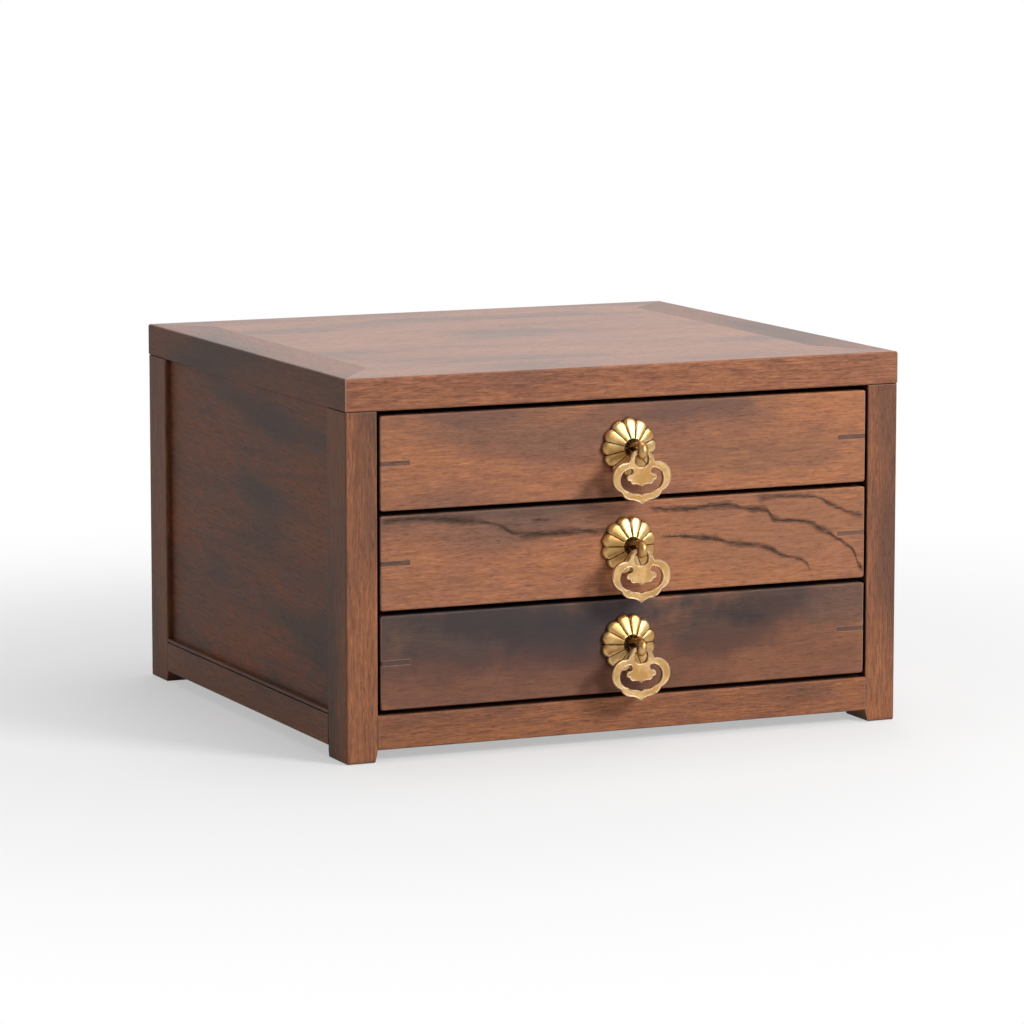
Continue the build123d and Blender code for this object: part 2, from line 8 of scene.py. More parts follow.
import bpy
from mathutils import Euler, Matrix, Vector


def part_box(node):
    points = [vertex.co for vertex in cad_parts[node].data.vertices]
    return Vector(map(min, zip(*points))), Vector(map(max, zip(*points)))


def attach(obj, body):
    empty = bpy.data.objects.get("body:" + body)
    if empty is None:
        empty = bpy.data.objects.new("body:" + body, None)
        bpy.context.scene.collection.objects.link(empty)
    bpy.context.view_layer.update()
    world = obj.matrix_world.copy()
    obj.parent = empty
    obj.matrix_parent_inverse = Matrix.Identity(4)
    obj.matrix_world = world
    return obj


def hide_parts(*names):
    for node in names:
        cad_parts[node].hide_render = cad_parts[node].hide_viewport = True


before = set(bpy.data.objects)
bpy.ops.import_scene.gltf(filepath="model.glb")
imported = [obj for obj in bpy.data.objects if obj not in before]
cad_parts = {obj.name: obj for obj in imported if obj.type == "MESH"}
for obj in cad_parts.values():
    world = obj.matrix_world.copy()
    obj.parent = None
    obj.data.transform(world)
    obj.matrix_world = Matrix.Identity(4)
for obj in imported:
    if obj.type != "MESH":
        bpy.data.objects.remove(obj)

log = logging.getLogger("tea_box")

Group = bpy.types.NodeTree
Material = bpy.types.Material
Node = bpy.types.Node
Piece = bpy.types.Object
Socket = bpy.types.NodeSocket
Colour = tuple[float, float, float, float]
Point = tuple[float, float]
Place = tuple[float, float, float]
Change = tuple[float, float, float, float]  # the two ends of a range, and what they become

DRAWERS = (1, 2, 3)
PETALS = 12
MM_PER_METRE = 1000.0
# Along each axis of the timber, in millimetres: from one board's cut to the next, and the timber's size.
CUTS = ((317.0, 5000.0), (61.0, 700.0), (97.0, 900.0))
HEART_MM = (-74.5, 118.0)
RING_GAP_MM = 5.2
RING_DRIFT_MM = 26.0
RING_LEAN = 0.06
ARRIS_METRES = 0.0006
GAP_METRES = 0.005
# Near-black colour of the painted shade in the gaps and joints between boards.
PAINTED_GAP_SHADE = "0A0605"
RELIEF_METRES = 0.0002
WAX_ROUGHNESS = 0.3
WAX_IN_PORES = 0.55
STAIN_BODY = 0.45
VEIN_WANDER_MM = 1.6
HAIR_MM = 0.01
VEIN_ENDS_MM = (1.0, 3.0)
BRASS_EDGE_METRES = 0.0004
BRASS_HOLLOW_METRES = 0.0022
KEY_PLACE = (0.8, -1.3, 0.85)
KEY_GLARE = 10.0


def linear(hex_code: str) -> Colour:
    """Turns a hex colour as seen on a screen into the linear colour that shaders take.

    Args:
        hex_code: Six hex digits, without a leading sign.

    Returns:
        Red, green, blue and alpha.
    """
    channels = []
    for index in (0, 2, 4):
        value = int(hex_code[index:index + 2], 16) / 255
        channels.append(value / 12.92 if value <= 0.04045 else ((value + 0.055) / 1.055) ** 2.4)
    return channels[0], channels[1], channels[2], 1.0


class NodeSheet:
    """Places shader nodes in one node tree and joins their sockets."""

    def __init__(self, tree: Group) -> None:
        """Keeps the tree and clears it.

        Args:
            tree: The node tree of a material, a world or a node group.
        """
        self.tree = tree
        self.tree.nodes.clear()

    def place(self, kind: str, sockets: Optional[dict] = None, **settings: Any) -> Node:
        """Adds one node.

        Args:
            kind: The shader node's type, such as Math.
            sockets: Values or output sockets for the node's inputs, by name or index.
            settings: Properties of the node itself.

        Returns:
            The new node.
        """
        node = self.tree.nodes.new(f"ShaderNode{kind}")
        for name, value in settings.items():
            setattr(node, name, value)
        for key, value in (sockets or {}).items():
            self.feed(node.inputs[key], value)
        return node

    def feed(self, socket: Socket, value: Any) -> None:
        """Joins an output to an input socket, or sets the socket's own value.

        Args:
            socket: The input socket.
            value: An output socket, or a plain value.
        """
        if isinstance(value, Socket):
            self.tree.links.new(value, socket)
        else:
            socket.default_value = value

    def number(self, operation: str, first: Any, second: Any = 0.0, clamp: bool = False) -> Socket:
        """Adds a Math node.

        Args:
            operation: The operation's name in Blender.
            first: The first value or socket.
            second: The second value or socket.
            clamp: True to keep the result from 0 to 1.

        Returns:
            The result's socket.
        """
        node = self.place("Math", {0: first, 1: second}, operation=operation, use_clamp=clamp)
        return node.outputs[0]

    def times(self, first: Any, second: Any, clamp: bool = False) -> Socket:
        """Multiplies two numbers."""
        return self.number("MULTIPLY", first, second, clamp)

    def plus(self, first: Any, second: Any) -> Socket:
        """Adds two numbers."""
        return self.number("ADD", first, second)

    def minus(self, first: Any, second: Any) -> Socket:
        """Takes the second number from the first."""
        return self.number("SUBTRACT", first, second)

    def vector(self, operation: str, first: Any, second: Any) -> Socket:
        """Adds a Vector Math node and returns its vector."""
        return self.place("VectorMath", {0: first, 1: second}, operation=operation).outputs[0]

    def measure(self, operation: str, first: Any, second: Any = (0.0, 0.0, 0.0)) -> Socket:
        """Adds a Vector Math node and returns its number, such as a length."""
        return self.place("VectorMath", {0: first, 1: second}, operation=operation).outputs["Value"]

    def axis(self, vector: Any, index: int) -> Socket:
        """Returns one axis of a vector."""
        return self.place("SeparateXYZ", {0: vector}).outputs[index]

    def diagonal(self, first: Any, second: Any) -> Socket:
        """Returns the length of the diagonal of two sides."""
        squares = [self.times(side, side) for side in (first, second)]
        return self.number("SQRT", self.plus(*squares))

    def noise(self, place: Any, scale: Place, detail: float = 2.0, roughness: float = 0.5,
              distortion: float = 0.0) -> Socket:
        """Adds a noise that is stretched along its axes.

        Args:
            place: The coordinates' socket.
            scale: Features per millimetre along each axis.
            detail: The number of finer layers.
            roughness: The strength of the finer layers.
            distortion: How far the noise is folded.

        Returns:
            The noise's value from 0 to 1.
        """
        stretched = self.vector("MULTIPLY", place, scale)
        sockets = {"Vector": stretched, "Scale": 1.0, "Detail": detail,
                   "Roughness": roughness, "Distortion": distortion}
        return self.place("TexNoise", sockets).outputs[0]

    def spread(self, value: Any, low: Any, high: Any, to_low: float = 0.0, to_high: float = 1.0,
               smooth: bool = True) -> Socket:
        """Maps a value from one range to another.

        Args:
            value: The value's socket.
            low: The value that becomes to_low.
            high: The value that becomes to_high.
            to_low: The lowest result.
            to_high: The highest result.
            smooth: True for a soft start and end.

        Returns:
            The mapped value.
        """
        kind = "SMOOTHSTEP" if smooth else "LINEAR"
        sockets = {0: value, 1: low, 2: high, 3: to_low, 4: to_high}
        return self.place("MapRange", sockets, interpolation_type=kind).outputs[0]

    def blend(self, factor: Any, first: Any, second: Any, mode: str = "MIX") -> Socket:
        """Mixes two colours.

        Args:
            factor: How much of the second colour shows.
            first: The colour at 0.
            second: The colour at 1.
            mode: The name of the blend mode.

        Returns:
            The mixed colour.
        """
        node = self.place("Mix", data_type="RGBA", blend_type=mode)
        for index, value in ((0, factor), (6, first), (7, second)):
            self.feed(node.inputs[index], value)
        return node.outputs[2]

    def edge_turn(self, radius: float) -> Socket:
        """Finds the edges by how far an eased normal turns from the true one.

        Args:
            radius: How far from an edge the turn is felt, in metres.

        Returns:
            1 on a flat face, and less towards an edge.
        """
        eased = self.place("Bevel", {"Radius": radius}, samples=4).outputs[0]
        true = self.place("NewGeometry").outputs["True Normal"]
        return self.measure("DOT_PRODUCT", eased, true)

    def group(self, tree: Group, **sockets: Any) -> Node:
        """Places a node group and feeds its inputs by name."""
        return self.place("Group", sockets, node_tree=tree)

    def fill(self, node: Node, **sockets: Any) -> None:
        """Feeds the inputs of a node that is there already, by name."""
        for name, value in sockets.items():
            self.feed(node.inputs[name], value)


def new_group(name: str, inputs: dict[str, str], outputs: dict[str, str]) -> tuple[NodeSheet, Any, Any]:
    """Starts a shader node group.

    Args:
        name: The group's name.
        inputs: Kind of each input by name: Vector, Color or Float.
        outputs: Kind of each output by name.

    Returns:
        The sheet to build on, the sockets that the group is given by name, and its output node.
    """
    tree = bpy.data.node_groups.new(name, "ShaderNodeTree")
    for side, sockets in (("INPUT", inputs), ("OUTPUT", outputs)):
        for label, kind in sockets.items():
            tree.interface.new_socket(name=label, in_out=side, socket_type=f"NodeSocket{kind}")
    sheet = NodeSheet(tree)
    return sheet, tree.nodes.new("NodeGroupInput").outputs, tree.nodes.new("NodeGroupOutput")


class Grain(Enum):
    """Which way a board's grain runs, as the turn that lays it along X."""

    ALONG_X = (0.0, 0.0, 0.0)
    ALONG_Y = (0.0, 0.0, -math.pi / 2)
    ALONG_Z = (0.0, math.pi / 2, 0.0)
    SLOPING_Y = (math.radians(-4), 0.0, -math.pi / 2)


def build_timber_group() -> Group:
    """Builds the wood's figure: rings, clouds of colour, fibres and pores.

    Returns:
        The node group. Its coordinates are millimetres with the grain along X.
    """
    sheet, given, outer = new_group(
        "timber_figure",
        {"Place": "Vector", "Grey": "Color", "Brown": "Color", "Orange": "Color", "Late": "Color",
         "Rings": "Float", "Clouds": "Float", "Fibres": "Float", "Pores": "Float"},
        {"Color": "Color", "Roughness": "Float", "Height": "Float"})
    place = given["Place"]
    drift = sheet.noise(place, (0.005, 0.02, 0.02), 1.0)
    drift_mm = sheet.times(sheet.minus(drift, 0.5), RING_DRIFT_MM)
    lean = sheet.times(sheet.axis(place, 0), RING_LEAN)
    across = sheet.plus(sheet.minus(lean, HEART_MM[0]), sheet.axis(place, 1))
    up = sheet.plus(sheet.axis(place, 2), drift_mm)
    radius = sheet.diagonal(across, sheet.minus(up, HEART_MM[1]))
    wave = sheet.number("SINE", sheet.times(radius, 2 * math.pi / RING_GAP_MM))
    ring = sheet.spread(wave, 0.1, 1.0)
    ring_patch = sheet.spread(sheet.noise(place, (0.012, 0.05, 0.05), 2.0), 0.38, 0.66)
    ring = sheet.times(ring, ring_patch)
    ring = sheet.times(ring, given["Rings"], True)

    cloud = sheet.noise(place, (0.01, 0.036, 0.036), 1.5, 0.5)
    streak = sheet.noise(place, (0.075, 0.95, 0.95), 3.0, 0.6)
    grey_mask = sheet.times(sheet.spread(cloud, 0.5, 0.3), given["Clouds"], True)
    warm = sheet.plus(sheet.times(cloud, 0.4), sheet.times(streak, 0.6))
    warm_mask = sheet.times(sheet.spread(warm, 0.44, 0.6), given["Clouds"], True)
    colour = sheet.blend(warm_mask, given["Brown"], given["Orange"])
    colour = sheet.blend(grey_mask, colour, given["Grey"])
    colour = sheet.blend(ring, colour, given["Late"])

    fibre = sheet.noise(place, (0.11, 1.5, 1.5), 3.0, 0.6, 0.3)
    fleck = sheet.noise(place, (0.42, 3.4, 3.4), 2.0, 0.6)
    fibre = sheet.plus(sheet.times(fibre, 0.55), sheet.times(fleck, 0.45))
    shade = sheet.spread(fibre, 0.34, 0.66, -1.0, 1.0, False)
    shade = sheet.plus(sheet.times(shade, given["Fibres"]), 1.0)
    tone = sheet.place("CombineXYZ", {0: shade, 1: shade, 2: shade}).outputs[0]
    colour = sheet.blend(1.0, colour, tone, "MULTIPLY")
    pore = sheet.noise(place, (0.22, 2.6, 2.6), 1.0)
    pore = sheet.times(sheet.spread(pore, 0.6, 0.7), given["Pores"], True)
    colour = sheet.blend(pore, colour, given["Late"])
    rough = sheet.spread(fibre, 0.3, 0.7, -0.06, 0.06)
    rough = sheet.plus(rough, sheet.times(pore, 0.2))
    height = sheet.minus(sheet.times(fibre, 0.6), pore)
    sheet.fill(outer, Color=colour, Roughness=rough, Height=height)
    return sheet.tree


def build_vein_group() -> Group:
    """Builds the mask of one dark vein whose height along the board comes from outside.

    Returns:
        The node group. Its coordinates are millimetres.
    """
    sheet, given, outer = new_group(
        "dark_vein", {"Place": "Vector", "Line": "Float", "Width": "Float"}, {"Mask": "Float"})
    place = given["Place"]
    wobble = sheet.minus(sheet.noise(place, (0.35, 0.35, 0.35), 3.0, 0.7), 0.5)
    gap = sheet.minus(sheet.axis(place, 2), given["Line"])
    gap = sheet.number("ABSOLUTE", sheet.plus(gap, sheet.times(wobble, VEIN_WANDER_MM)))
    swell = sheet.spread(sheet.noise(place, (0.07, 0.2, 0.2), 2.0), 0.3, 0.7, 0.7, 2.2)
    reach = sheet.times(given["Width"], swell)
    mask = sheet.minus(1.0, sheet.spread(sheet.number("DIVIDE", gap, reach), 0.0, 1.0))
    strands = sheet.spread(sheet.noise(place, (0.2, 1.8, 1.8), 3.0), 0.3, 0.6, 0.55, 1.0)
    sheet.fill(outer, Mask=sheet.times(mask, strands))
    return sheet.tree


def build_stain_group() -> Group:
    """Builds the mask of one soft patch of another tone.

    Returns:
        The node group. Its coordinates are millimetres.
    """
    sheet, given, outer = new_group(
        "soft_stain", {"Place": "Vector", "Centre": "Vector", "Reach": "Vector"}, {"Mask": "Float"})
    place = given["Place"]
    scaled = sheet.vector("MULTIPLY", place, (0.045, 0.045, 0.045))
    sockets = {"Vector": scaled, "Scale": 1.0, "Detail": 3.0, "Roughness": 0.6}
    ragged = sheet.place("TexNoise", sockets).outputs["Color"]
    ragged = sheet.vector("MULTIPLY", sheet.vector("SUBTRACT", ragged, (0.5, 0.5, 0.5)), (1.5, 1.5, 1.5))
    away = sheet.vector("SUBTRACT", place, given["Centre"])
    away = sheet.vector("DIVIDE", away, given["Reach"])
    away = sheet.vector("ADD", away, ragged)
    sheet.fill(outer, Mask=sheet.spread(sheet.measure("LENGTH", away), 1.15, 0.45))
    return sheet.tree


def build_edge_group() -> Group:
    """Builds the masks of a board's pale arrises, partly real wear and partly a painted highlight, and of
    the painted shade in the gaps between boards.

    Returns:
        The node group.
    """
    sheet, given, outer = new_group("board_edges", {"Wear": "Float", "Shade": "Float"},
                                    {"Arris": "Float", "Gap": "Float"})
    # Pale arrises: partly real wear, partly a painted highlight where the rounded edges catch the light.
    arris = sheet.spread(sheet.edge_turn(ARRIS_METRES), 0.995, 0.93)
    arris = sheet.times(arris, given["Wear"])
    # Painted shade: ambient occlusion darkens the faces that lie deep in the gaps between boards.
    open_sky = sheet.place("AmbientOcclusion", {"Distance": GAP_METRES}, samples=4).outputs["AO"]
    gap = sheet.times(sheet.spread(open_sky, 0.6, 0.22), given["Shade"])
    sheet.fill(outer, Arris=arris, Gap=gap)
    return sheet.tree


def build_patina_group() -> Group:
    """Builds the brass's tone: dark patina in its recesses, cloudy satin on its faces.

    Returns:
        The node group. Its coordinates are millimetres.
    """
    sheet, given, outer = new_group(
        "brass_patina",
        {"Place": "Vector", "Bright": "Color", "Tone": "Color", "Patina": "Color", "Rubbed": "Color",
         "Depth": "Float"},
        {"Color": "Color", "Roughness": "Float", "Height": "Float"})
    place = given["Place"]
    hollow = sheet.place("AmbientOcclusion", {"Distance": BRASS_HOLLOW_METRES}, samples=8)
    recess = sheet.spread(hollow.outputs["AO"], 0.82, 0.32)
    cloud = sheet.noise(place, (0.12, 0.12, 0.12), 3.0, 0.6)
    grit = sheet.noise(place, (1.4, 1.4, 1.4), 3.0, 0.65)
    patchy = sheet.times(recess, sheet.spread(cloud, 0.25, 0.6, 0.65, 1.0))
    mask = sheet.times(patchy, given["Depth"], True)
    colour = sheet.blend(sheet.spread(cloud, 0.38, 0.66), given["Tone"], given["Bright"])
    # Pale brass along the edges: partly real rubbing, partly a painted highlight on the rounded edges.
    rubbed_and_highlight = sheet.spread(sheet.edge_turn(BRASS_EDGE_METRES), 0.99, 0.85, 0.0, 0.8)
    colour = sheet.blend(rubbed_and_highlight, colour, given["Rubbed"])
    colour = sheet.blend(mask, colour, given["Patina"])
    rough = sheet.spread(grit, 0.3, 0.7, -0.05, 0.08)
    rough = sheet.plus(sheet.times(mask, 0.3), rough)
    sheet.fill(outer, Color=colour, Roughness=rough, Height=grit)
    return sheet.tree


def build_groove_group() -> Group:
    """Builds the mask of the dark lines between a rosette's petals.

    Returns:
        The node group. Its coordinates are millimetres.
    """
    sheet, given, outer = new_group(
        "petal_grooves", {"Place": "Vector", "Height": "Float", "Turn": "Float", "Width": "Float"},
        {"Mask": "Float"})
    place = given["Place"]
    across = sheet.axis(place, 0)
    up = sheet.minus(sheet.axis(place, 2), given["Height"])
    angle = sheet.plus(sheet.number("ARCTAN2", across, up), given["Turn"])
    step = 2 * math.pi / PETALS
    off = sheet.number("PINGPONG", angle, step / 2)
    away = sheet.times(sheet.minus(step / 2, off), sheet.diagonal(across, up))
    wobble = sheet.noise(place, (0.5, 0.5, 0.5), 2.0)
    width = sheet.times(given["Width"], sheet.spread(wobble, 0.3, 0.7, 0.7, 1.3))
    sheet.fill(outer, Mask=sheet.spread(sheet.number("DIVIDE", away, width), 1.0, 0.35))
    return sheet.tree


@dataclass(frozen=True)
class WoodFinish:
    """An oiled wood: its colours and how strongly each part of the figure shows."""

    name: str
    grey: str = "775748"
    brown: str = "935F47"
    orange: str = "AE6F47"
    late: str = "3F302A"
    # Pale colour of the arrises: partly real wear, partly a painted highlight.
    pale: str = "B08E7E"
    rings: float = 0.1
    clouds: float = 0.75
    fibres: float = 0.27
    pores: float = 0.4
    arris_wear_and_highlight: float = 0.75
    shade: float = 0.92
    roughness: float = 0.5
    specular: float = 0.12
    wax: float = 0.0
    relief: float = 0.35


@dataclass(frozen=True)
class BrassFinish:
    """A satin brass with dark patina in its recesses."""

    name: str
    bright: str = "DDB47C"
    tone: str = "BE9158"
    # Pale brass of the edges: partly real rubbing, partly a painted highlight.
    rubbed_and_highlight: str = "FBE3C0"
    patina: str = "2E1E0E"
    depth: float = 0.9
    groove: float = 0.32
    roughness: float = 0.4
    relief: float = 0.06


@dataclass(frozen=True)
class Stain:
    """A soft patch of another tone in a drawer's front, placed along and up it in millimetres."""

    centre: Point
    reach: Place
    tone: str
    strength: float = 0.8


@dataclass(frozen=True)
class Vein:
    """A dark vein in a drawer front, as places along and up the board in millimetres."""

    path: tuple[Point, ...]
    width: float = 1.0
    strength: float = 0.8


class Finisher:
    """Makes one material for each piece from the shared node groups."""

    def __init__(self) -> None:
        """Builds the shared node groups once."""
        self.timber = build_timber_group()
        self.vein = build_vein_group()
        self.stain = build_stain_group()
        self.edges = build_edge_group()
        self.patina = build_patina_group()
        self.grooves = build_groove_group()

    @staticmethod
    def start(name: str) -> tuple[Material, NodeSheet, Node]:
        """Starts a material with its shader.

        Args:
            name: The material's name.

        Returns:
            The material, its sheet and its shader node.
        """
        material = bpy.data.materials.new(name)
        material.use_nodes = True
        sheet = NodeSheet(material.node_tree)
        shader = sheet.place("BsdfPrincipled")
        sheet.place("OutputMaterial", {"Surface": shader.outputs[0]})
        return material, sheet, shader

    @staticmethod
    def in_timber(sheet: NodeSheet, grain: Grain, shift: Any = (0.0, 0.0, 0.0)) -> Socket:
        """Finds where a point of a piece lies in the timber or the brass.

        Args:
            sheet: The material's sheet.
            grain: Which way the grain runs.
            shift: Where in the timber the board is cut from, in millimetres.

        Returns:
            The coordinates' socket, in millimetres.
        """
        source = sheet.place("TexCoord").outputs["Object"]
        sockets = {"Vector": source, "Location": shift, "Rotation": Euler(grain.value),
                   "Scale": (MM_PER_METRE,) * 3}
        return sheet.place("Mapping", sockets).outputs[0]

    @staticmethod
    def close(sheet: NodeSheet, shader: Node, colour: Any, figure: Node,
              finish: WoodFinish | BrassFinish) -> None:
        """Feeds the shader its colour, roughness and relief.

        Args:
            sheet: The material's sheet.
            shader: The shader node.
            colour: The colour's socket.
            figure: The group that gives roughness and height.
            finish: The wood's or the brass's strengths.
        """
        rough = sheet.number("ADD", figure.outputs["Roughness"], finish.roughness, True)
        height = figure.outputs["Height"]
        sockets = {"Strength": finish.relief, "Distance": RELIEF_METRES, "Height": height}
        bump = sheet.place("Bump", sockets).outputs[0]
        sheet.feed(shader.inputs["Base Color"], colour)
        sheet.fill(shader, Roughness=rough, Normal=bump)

    def wood(self, name: str, finish: WoodFinish, grain: Grain, cut: int,
             veins: Iterable[Vein] = (), stains: Iterable[Stain] = ()) -> Material:
        """Makes the material of one board.

        Args:
            name: The board's name.
            finish: The wood's colours and strengths.
            grain: Which way the grain runs.
            cut: A number that picks another place in the timber.
            veins: Dark veins that cross the board.
            stains: Soft patches of another tone.

        Returns:
            The material.
        """
        material, sheet, shader = self.start(f"{finish.name}_{name}")
        shift = tuple(cut * step % size for step, size in CUTS)
        figure = sheet.group(
            self.timber, Place=self.in_timber(sheet, grain, shift), Grey=linear(finish.grey),
            Brown=linear(finish.brown), Orange=linear(finish.orange), Late=linear(finish.late),
            Rings=finish.rings, Clouds=finish.clouds, Fibres=finish.fibres, Pores=finish.pores)
        colour = figure.outputs["Color"]
        if veins or stains:
            source = sheet.place("TexCoord").outputs["Object"]
            local = sheet.vector("MULTIPLY", source, (MM_PER_METRE,) * 3)
            for stain in stains:
                colour = self.stained(sheet, local, stain, colour)
            for vein in veins:
                colour = sheet.blend(self.vein_mask(sheet, local, vein), colour, linear(finish.late))
        edges = sheet.group(self.edges, Wear=finish.arris_wear_and_highlight, Shade=finish.shade)
        # Pale arrises, partly real wear and partly a painted highlight.
        colour = sheet.blend(edges.outputs["Arris"], colour, linear(finish.pale))
        # Painted shade in the gaps between boards, laid over the colour.
        colour = sheet.blend(edges.outputs["Gap"], colour, linear(PAINTED_GAP_SHADE))
        self.close(sheet, shader, colour, figure, finish)
        shader.inputs["Specular IOR Level"].default_value = finish.specular
        if finish.wax:
            true = sheet.place("NewGeometry").outputs["True Normal"]
            level = sheet.spread(sheet.axis(true, 2), 0.6, 0.95)
            least = WAX_IN_PORES * finish.wax
            polish = sheet.spread(figure.outputs["Height"], -0.3, 0.5, least, finish.wax)
            sheet.feed(shader.inputs["Coat Weight"], sheet.times(level, polish))
            shader.inputs["Coat Roughness"].default_value = WAX_ROUGHNESS
        return material

    def stained(self, sheet: NodeSheet, local: Any, stain: Stain, colour: Any) -> Socket:
        """Lays one soft patch over a colour.

        Args:
            sheet: The material's sheet.
            local: The coordinates in millimetres.
            stain: The patch to lay.
            colour: The colour under it.

        Returns:
            The colour with the patch.
        """
        along, up = stain.centre
        centre = (along, FRONT_PLANE_MM, up)
        patch = sheet.group(self.stain, Place=local, Centre=centre, Reach=stain.reach)
        mask = sheet.times(patch.outputs["Mask"], stain.strength, True)
        shares = tuple(part / whole for part, whole in zip(linear(stain.tone), linear(FRONT_WOOD.brown)))
        toned = sheet.blend(1.0, colour, shares, "MULTIPLY")
        toned = sheet.blend(STAIN_BODY, toned, linear(stain.tone))
        return sheet.blend(mask, colour, toned)

    def vein_mask(self, sheet: NodeSheet, local: Any, vein: Vein) -> Socket:
        """Draws one vein's mask along its path.

        Args:
            sheet: The material's sheet.
            local: The coordinates in millimetres.
            vein: The vein to draw.

        Returns:
            The mask's socket.
        """
        xs = [x for x, _ in vein.path]
        zs = [z for _, z in vein.path]
        left, right, low = min(xs), max(xs), min(zs)
        tall = max(zs) - low + HAIR_MM
        along = sheet.axis(local, 0)
        part = sheet.spread(along, left, right, smooth=False)
        curve = sheet.place("FloatCurve", {"Factor": 1.0, "Value": part})
        line = curve.mapping.curves[0]
        while len(line.points) > 2:
            line.points.remove(line.points[-1])
        marks = [((x - left) / (right - left), (z - low) / tall) for x, z in vein.path]
        line.points[0].location = marks[0]
        line.points[1].location = marks[-1]
        for mark in marks[1:-1]:
            line.points.new(*mark)
        curve.mapping.update()
        height = sheet.plus(sheet.times(curve.outputs[0], tall), low)
        drawn = sheet.group(self.vein, Place=local, Line=height, Width=vein.width)
        outside, inside = VEIN_ENDS_MM
        start = sheet.spread(along, left - outside, left + inside)
        stop = sheet.spread(along, right + outside, right - inside)
        mask = sheet.times(drawn.outputs["Mask"], sheet.times(start, stop))
        return sheet.times(mask, vein.strength, True)

    def brass(self, name: str, finish: BrassFinish, petals: Optional[Point] = None) -> Material:
        """Makes the material of one brass piece.

        Args:
            name: The piece's name.
            finish: The brass's colours.
            petals: Height of a rosette's middle in millimetres and its turn, or None for a plain piece.

        Returns:
            The material.
        """
        material, sheet, shader = self.start(f"{finish.name}_{name}")
        place = self.in_timber(sheet, Grain.ALONG_X)
        patina = sheet.group(
            self.patina, Place=place, Bright=linear(finish.bright), Tone=linear(finish.tone),
            Patina=linear(finish.patina), Rubbed=linear(finish.rubbed_and_highlight), Depth=finish.depth)
        shader.inputs["Metallic"].default_value = 1.0
        colour = patina.outputs["Color"]
        if petals:
            height, turn = petals
            lines = sheet.group(self.grooves, Place=place, Height=height, Turn=turn, Width=finish.groove)
            colour = sheet.blend(lines.outputs["Mask"], colour, linear(finish.patina))
        self.close(sheet, shader, colour, patina, finish)
        return material


FRAME_WOOD = WoodFinish("frame_wood", grey="6B4E41", brown="8A5C47", orange="A46B49", clouds=0.9,
                        fibres=0.33)
TOP_WOOD = WoodFinish("top_wood", grey="74574B", brown="90604B", orange="A87052", clouds=0.85,
                      fibres=0.4, wax=0.6)
END_WOOD = WoodFinish("end_wood", grey="5C4337", brown="6E4838", orange="8A573D", clouds=1.0,
                      fibres=0.4, wax=0.5)
PANEL_WOOD = WoodFinish("panel_wood", grey="5C463C", brown="7A5241", orange="A05F3E", rings=0.25,
                        clouds=1.0, fibres=0.34)
FRONT_WOOD = WoodFinish("front_wood", grey="7E5E50", brown="9E6B53", orange="B87B55")
INNER_WOOD = WoodFinish("inner_wood", grey="8A6C58", brown="A57C60", orange="B98A66", rings=0.2)
KEY_WOOD = WoodFinish("key_wood", grey="62493F", brown="745649", orange="84624F", arris_wear_and_highlight=0.0, shade=0.5)
PULL_BRASS = BrassFinish("pull_brass")
PETAL_BRASS = BrassFinish("petal_brass", bright="EAC88E", tone="CC9E60", roughness=0.36)
# Lighter brass for the bail's chamfer: a painted highlight.
RIM_HIGHLIGHT_BRASS = BrassFinish("rim_highlight_brass", bright="E2BF88", tone="D2AA72", depth=0.5, roughness=0.5)

MIDDLE_VEINS = (
    Vein(((10.1, 98.9), (27.2, 97.8), (45.0, 98.3), (57.1, 95.9), (64.8, 95.0), (69.2, 91.0), (83.4, 89.2),
          (92.7, 84.4), (101.6, 79.3), (107.0, 75.1), (109.5, 69.0), (113.4, 65.2)), 1.4, 1.0),
    Vein(((15.3, 86.7), (37.3, 84.8), (49.3, 81.9), (64.8, 79.2), (73.6, 74.9), (82.4, 72.6),
          (86.8, 63.5)), 1.2, 1.0),
    Vein(((60.0, 100.4), (87.8, 99.3), (95.6, 95.9), (101.6, 93.0), (112.4, 89.5)), 1.1, 0.9),
    Vein(((-112.1, 100.5), (-99.0, 101.0), (-76.2, 98.9), (-64.7, 97.3), (-58.3, 95.6), (-53.0, 92.4),
          (-45.0, 91.3), (-31.8, 91.0), (-8.4, 91.1)), 1.6, 1.0),
    Vein(((-44.5, 97.1), (-35.0, 96.8)), 1.0, 0.9),
)

FRONT_PLANE_MM = -109.0
GREY_TONE = "5A4A45"
DARK_TONE = "524440"
FRONT_STAINS = {
    1: (Stain((-70.0, 143.0), (45.0, 40.0, 6.0), "75584D", 0.7),
        Stain((20.0, 141.0), (60.0, 40.0, 7.0), "75584D", 0.7),
        Stain((60.0, 120.0), (45.0, 40.0, 11.0), "82604F", 0.5)),
    2: (Stain((-60.0, 101.0), (60.0, 40.0, 3.5), "6B544B", 0.6),
        Stain((-20.0, 96.0), (40.0, 40.0, 8.0), "6F564C", 0.5),
        Stain((80.0, 88.0), (75.0, 60.0, 20.0), "8B6352", 0.6)),
    3: (Stain((-66.0, 52.0), (95.0, 60.0, 21.0), GREY_TONE, 1.0),
        Stain((-22.0, 46.0), (48.0, 60.0, 15.0), GREY_TONE, 0.95),
        Stain((-30.0, 58.0), (80.0, 60.0, 11.0), GREY_TONE, 0.95),
        Stain((45.0, 46.0), (34.0, 60.0, 15.0), DARK_TONE, 0.95),
        Stain((65.0, 56.0), (34.0, 60.0, 13.0), DARK_TONE, 0.9),
        Stain((98.0, 53.0), (40.0, 60.0, 13.0), "665049", 0.85),
        Stain((-60.0, 29.0), (110.0, 60.0, 20.0), "775347", 0.9),
        Stain((60.0, 31.0), (110.0, 60.0, 20.0), "7A5445", 0.85)),
}


